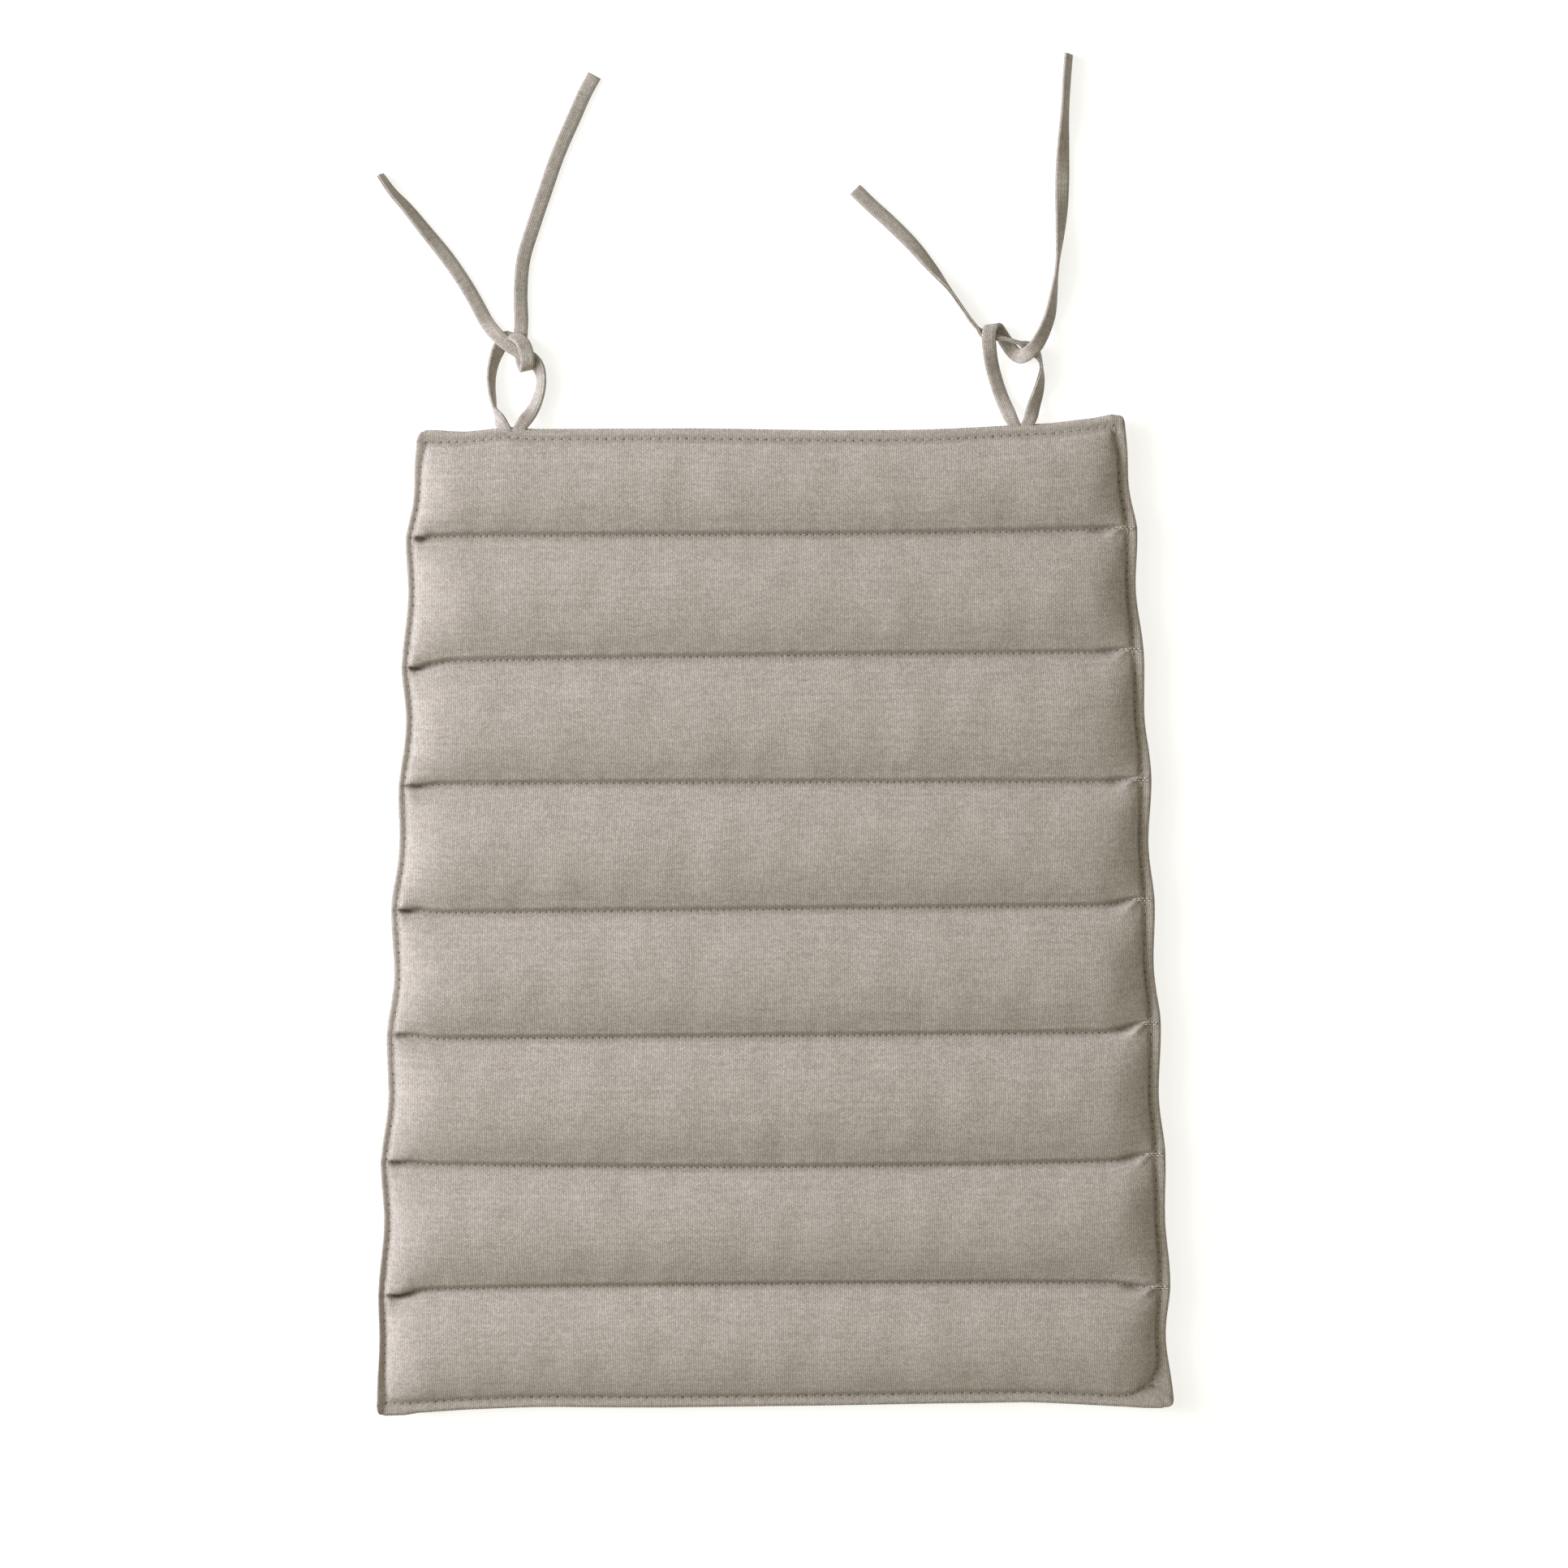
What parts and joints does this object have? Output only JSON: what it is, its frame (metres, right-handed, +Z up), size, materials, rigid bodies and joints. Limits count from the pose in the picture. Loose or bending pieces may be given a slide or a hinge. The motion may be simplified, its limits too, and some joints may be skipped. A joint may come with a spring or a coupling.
{
  "type": "chair seat pad",
  "caption": "Flat quilted seat pad with cross channels of wadding, a sewn border and two folded tape ties in its rear seam, for tying it to a chair's back posts.",
  "frame": {"origin": "middle of the pad's resting plane: halfway across and halfway from front edge to rear edge, at the underside, measured without the ties", "axes": "+X to the right when the pad is seen from above with the tie edge away from the viewer, +Y towards the rear edge that carries the ties, +Z up out of the seat"},
  "size_m": [0.42, 0.7168, 0.022],
  "materials": {
    "cover_cloth": "matte plain-weave cotton canvas, taupe melange",
    "wadding": "white polyester wadding, hidden inside",
    "thread": "matte spun sewing thread, a little darker than the cloth",
    "tie_tape": "cover cloth folded to a narrow four-layer tape and edge-stitched"
  },
  "bodies": {
    "channel_1": {"top_cover_1": "cover_cloth", "bottom_cover_1": "cover_cloth", "wadding_1": "wadding", "border_thread_rear": "thread", "quilting_thread_1": "thread"},
    "channel_2": {"top_cover_2": "cover_cloth", "bottom_cover_2": "cover_cloth", "wadding_2": "wadding", "border_thread_left_2": "thread", "border_thread_right_2": "thread", "quilting_thread_2": "thread"},
    "channel_3": {"top_cover_3": "cover_cloth", "bottom_cover_3": "cover_cloth", "wadding_3": "wadding", "border_thread_left_3": "thread", "border_thread_right_3": "thread", "quilting_thread_3": "thread"},
    "channel_4": {"top_cover_4": "cover_cloth", "bottom_cover_4": "cover_cloth", "wadding_4": "wadding", "border_thread_left_4": "thread", "border_thread_right_4": "thread", "quilting_thread_4": "thread"},
    "channel_5": {"top_cover_5": "cover_cloth", "bottom_cover_5": "cover_cloth", "wadding_5": "wadding", "border_thread_left_5": "thread", "border_thread_right_5": "thread", "quilting_thread_5": "thread"},
    "channel_6": {"top_cover_6": "cover_cloth", "bottom_cover_6": "cover_cloth", "wadding_6": "wadding", "border_thread_left_6": "thread", "border_thread_right_6": "thread", "quilting_thread_6": "thread"},
    "channel_7": {"top_cover_7": "cover_cloth", "bottom_cover_7": "cover_cloth", "wadding_7": "wadding", "border_thread_left_7": "thread", "border_thread_right_7": "thread", "quilting_thread_7": "thread"},
    "channel_8": {"top_cover_8": "cover_cloth", "bottom_cover_8": "cover_cloth", "wadding_8": "wadding", "border_thread_front": "thread"},
    "tie_left": {"tie_left_inner_tail": "tie_tape", "tie_left_outer_tail": "tie_tape"},
    "tie_right": {"tie_right_inner_tail": "tie_tape", "tie_right_outer_tail": "tie_tape"}
  },
  "joints": [
    {"name": "fold_1", "type": "hinge", "parent": "channel_1", "child": "channel_2", "pos_m": [0, 0.2045, 0.009], "axis": [-1, 0, 0], "range_deg": [-35, 35]},
    {"name": "fold_2", "type": "hinge", "parent": "channel_2", "child": "channel_3", "pos_m": [0, 0.138, 0.009], "axis": [-1, 0, 0], "range_deg": [-35, 35]},
    {"name": "fold_3", "type": "hinge", "parent": "channel_3", "child": "channel_4", "pos_m": [0, 0.0715, 0.009], "axis": [-1, 0, 0], "range_deg": [-35, 35]},
    {"name": "fold_4", "type": "hinge", "parent": "channel_4", "child": "channel_5", "pos_m": [0, 0.005, 0.009], "axis": [-1, 0, 0], "range_deg": [-35, 35]},
    {"name": "fold_5", "type": "hinge", "parent": "channel_5", "child": "channel_6", "pos_m": [0, -0.0615, 0.009], "axis": [-1, 0, 0], "range_deg": [-35, 35]},
    {"name": "fold_6", "type": "hinge", "parent": "channel_6", "child": "channel_7", "pos_m": [0, -0.128, 0.009], "axis": [-1, 0, 0], "range_deg": [-35, 35]},
    {"name": "fold_7", "type": "hinge", "parent": "channel_7", "child": "channel_8", "pos_m": [0, -0.1945, 0.009], "axis": [-1, 0, 0], "range_deg": [-35, 35]},
    {"name": "tie_left_swing", "type": "hinge", "parent": "channel_1", "child": "tie_left", "pos_m": [-0.1367, 0.2625, 0.0086], "axis": [-1, 0, 0], "range_deg": [-90, 85]},
    {"name": "tie_right_swing", "type": "hinge", "parent": "channel_1", "child": "tie_right", "pos_m": [0.1317, 0.2625, 0.0086], "axis": [-1, 0, 0], "range_deg": [-90, 85]}
  ]
}
